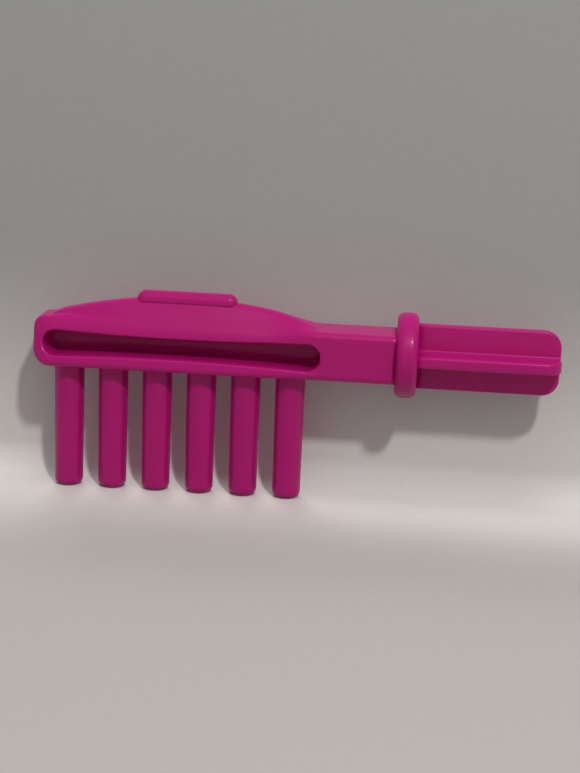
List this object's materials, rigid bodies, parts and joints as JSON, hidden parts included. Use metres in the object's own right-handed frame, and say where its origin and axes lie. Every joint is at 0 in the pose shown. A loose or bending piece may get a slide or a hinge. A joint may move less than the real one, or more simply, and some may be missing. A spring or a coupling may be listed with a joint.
{
  "type": "wide tooth comb",
  "caption": "Moulded plastic comb with round peg teeth under a hollow slotted back, a raised thumb pad, a squared neck, a round collar and a plug-in shank of crossed ribs.",
  "frame": {"origin": "middle of the foot of the outer box: the tooth tips stand on Z = 0, halfway along the comb and on the middle plane of the teeth", "axes": "+X along the comb from the free end to the shank, -Y out of the slotted face, +Z from the tooth tips to the crown"},
  "size_m": [0.0934, 0.0152, 0.0367],
  "materials": {
    "pink_plastic": "satin, as moulded"
  },
  "bodies": {
    "root": {"comb_back": "pink_plastic", "thumb_pad": "pink_plastic", "tooth_1": "pink_plastic", "tooth_2": "pink_plastic", "tooth_3": "pink_plastic", "tooth_4": "pink_plastic", "tooth_5": "pink_plastic", "tooth_6": "pink_plastic", "neck": "pink_plastic", "collar": "pink_plastic", "cross_shank": "pink_plastic"}
  },
  "joints": []
}
